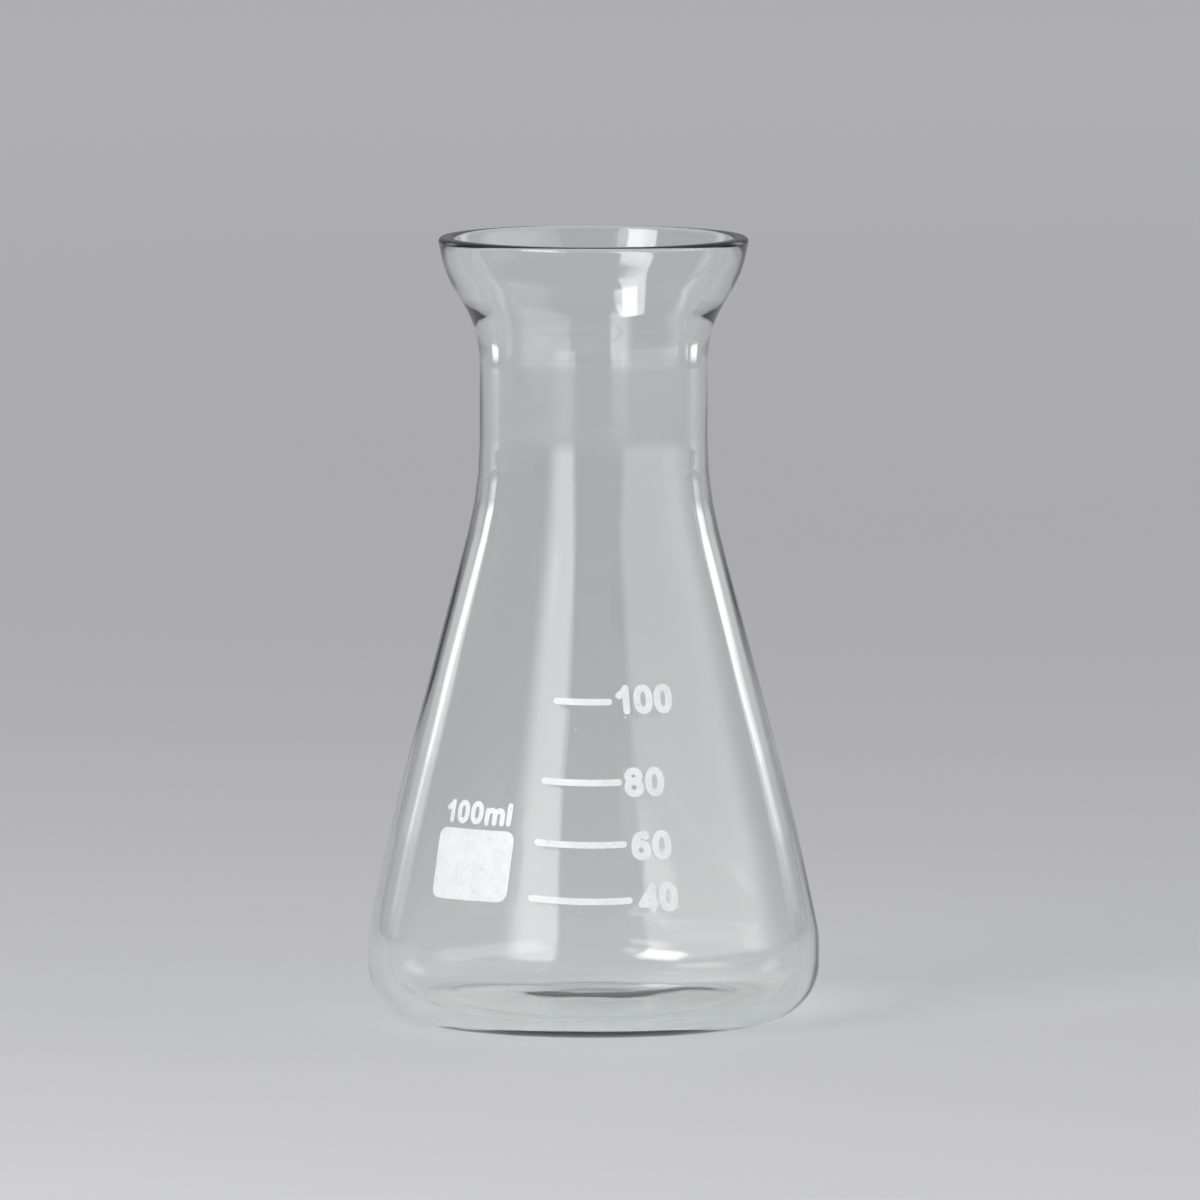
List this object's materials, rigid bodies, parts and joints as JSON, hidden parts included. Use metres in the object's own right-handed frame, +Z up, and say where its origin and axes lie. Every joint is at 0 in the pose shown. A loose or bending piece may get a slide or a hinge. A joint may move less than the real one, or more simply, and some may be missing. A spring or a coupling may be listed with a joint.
{
  "type": "conical flask",
  "caption": "Conical laboratory flask of clear glass with a short neck, a flared mouth and a white volume scale.",
  "frame": {"origin": "centre of the foot ring, on the plane that the flask stands on", "axes": "+Z up through the mouth along the axis of the glass, the printed scale faces -Y, +X to the right of someone who reads it"},
  "size_m": [0.0643, 0.0642, 0.1116],
  "materials": {
    "glass": "clear, fire polished",
    "enamel": "fired matt enamel"
  },
  "bodies": {
    "root": {"flask_body": "glass", "scale_bar_100": "enamel", "scale_bar_80": "enamel", "scale_bar_60": "enamel", "scale_bar_40": "enamel", "writing_field": "enamel"}
  },
  "joints": []
}
